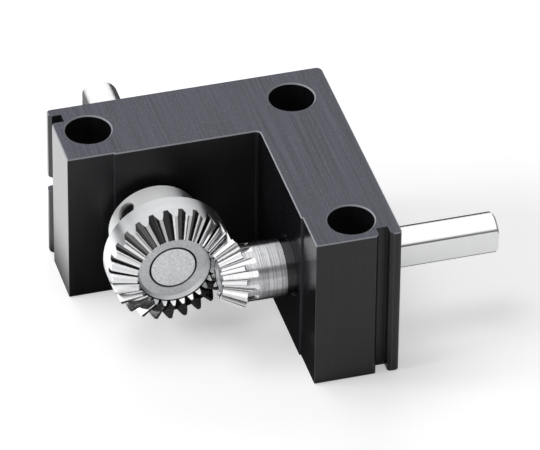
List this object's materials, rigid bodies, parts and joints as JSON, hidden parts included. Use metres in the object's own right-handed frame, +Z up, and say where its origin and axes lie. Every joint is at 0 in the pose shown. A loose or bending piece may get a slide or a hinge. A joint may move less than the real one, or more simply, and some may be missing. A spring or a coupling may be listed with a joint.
{
  "type": "right-angle bevel gearbox",
  "caption": "Open L-shaped block housing with two crossed shafts in ball bearings, geared together by straight bevel gears.",
  "frame": {"origin": "middle of the corner mounting hole, on the base face", "axes": "+X along the pinion shaft towards its output stub, +Y along the wheel shaft towards its output stub, +Z up from the base face"},
  "size_m": [0.1, 0.1, 0.042],
  "materials": {
    "housing_anodised": "black anodised, brushed",
    "gear_steel": "machined, bright",
    "shaft_steel": "ground, bright",
    "collar_steel": "turned",
    "race_steel": "ground",
    "spacer_steel": "turned",
    "ball_steel": "polished",
    "spring_steel": "dark phosphated",
    "screw_black": "black oxide",
    "seal_rubber": "matt"
  },
  "bodies": {
    "housing": {"housing": "housing_anodised", "wheel_front_outer_race": "race_steel", "wheel_front_seals": "seal_rubber", "wheel_outer_spacer": "spacer_steel", "wheel_rear_outer_race": "race_steel", "wheel_rear_seals": "seal_rubber", "wheel_bore_snap_ring": "spring_steel", "pinion_front_outer_race": "race_steel", "pinion_front_seals": "seal_rubber", "pinion_outer_spacer": "spacer_steel", "pinion_rear_outer_race": "race_steel", "pinion_rear_seals": "seal_rubber", "pinion_bore_snap_ring": "spring_steel"},
    "wheel_line": {"wheel_shaft": "shaft_steel", "bevel_wheel": "gear_steel", "wheel_set_screw": "screw_black", "wheel_collar": "collar_steel", "wheel_front_inner_race": "race_steel", "wheel_inner_spacer": "spacer_steel", "wheel_rear_inner_race": "race_steel", "wheel_shaft_snap_ring": "spring_steel"},
    "wheel_front_balls": {"wheel_front_ball_set": "ball_steel"},
    "wheel_rear_balls": {"wheel_rear_ball_set": "ball_steel"},
    "pinion_line": {"pinion_shaft": "shaft_steel", "bevel_pinion": "gear_steel", "pinion_set_screw": "screw_black", "pinion_collar": "collar_steel", "pinion_front_inner_race": "race_steel", "pinion_inner_spacer": "spacer_steel", "pinion_rear_inner_race": "race_steel", "pinion_shaft_snap_ring": "spring_steel"},
    "pinion_front_balls": {"pinion_front_ball_set": "ball_steel"},
    "pinion_rear_balls": {"pinion_rear_ball_set": "ball_steel"}
  },
  "joints": [
    {"name": "wheel_spin", "type": "hinge", "parent": "housing", "child": "wheel_line", "pos_m": [-0.03875, -0.03875, 0.021], "axis": [0, 1, 0], "continuous": true},
    {"name": "wheel_front_balls_roll", "type": "hinge", "parent": "housing", "child": "wheel_front_balls", "pos_m": [-0.03875, -0.03875, 0.021], "axis": [0, 1, 0], "continuous": true},
    {"name": "wheel_rear_balls_roll", "type": "hinge", "parent": "housing", "child": "wheel_rear_balls", "pos_m": [-0.03875, -0.03875, 0.021], "axis": [0, 1, 0], "continuous": true},
    {"name": "pinion_spin", "type": "hinge", "parent": "housing", "child": "pinion_line", "pos_m": [-0.03875, -0.03875, 0.021], "axis": [1, 0, 0], "continuous": true},
    {"name": "pinion_front_balls_roll", "type": "hinge", "parent": "housing", "child": "pinion_front_balls", "pos_m": [-0.03875, -0.03875, 0.021], "axis": [1, 0, 0], "continuous": true},
    {"name": "pinion_rear_balls_roll", "type": "hinge", "parent": "housing", "child": "pinion_rear_balls", "pos_m": [-0.03875, -0.03875, 0.021], "axis": [1, 0, 0], "continuous": true}
  ],
  "couplings": [
    {"joint": "pinion_spin", "follows": "wheel_spin", "ratio": -2},
    {"joint": "wheel_front_balls_roll", "follows": "wheel_spin", "ratio": 0.45333},
    {"joint": "wheel_rear_balls_roll", "follows": "wheel_spin", "ratio": 0.45333},
    {"joint": "pinion_front_balls_roll", "follows": "wheel_spin", "ratio": -0.90667},
    {"joint": "pinion_rear_balls_roll", "follows": "wheel_spin", "ratio": -0.90667}
  ]
}
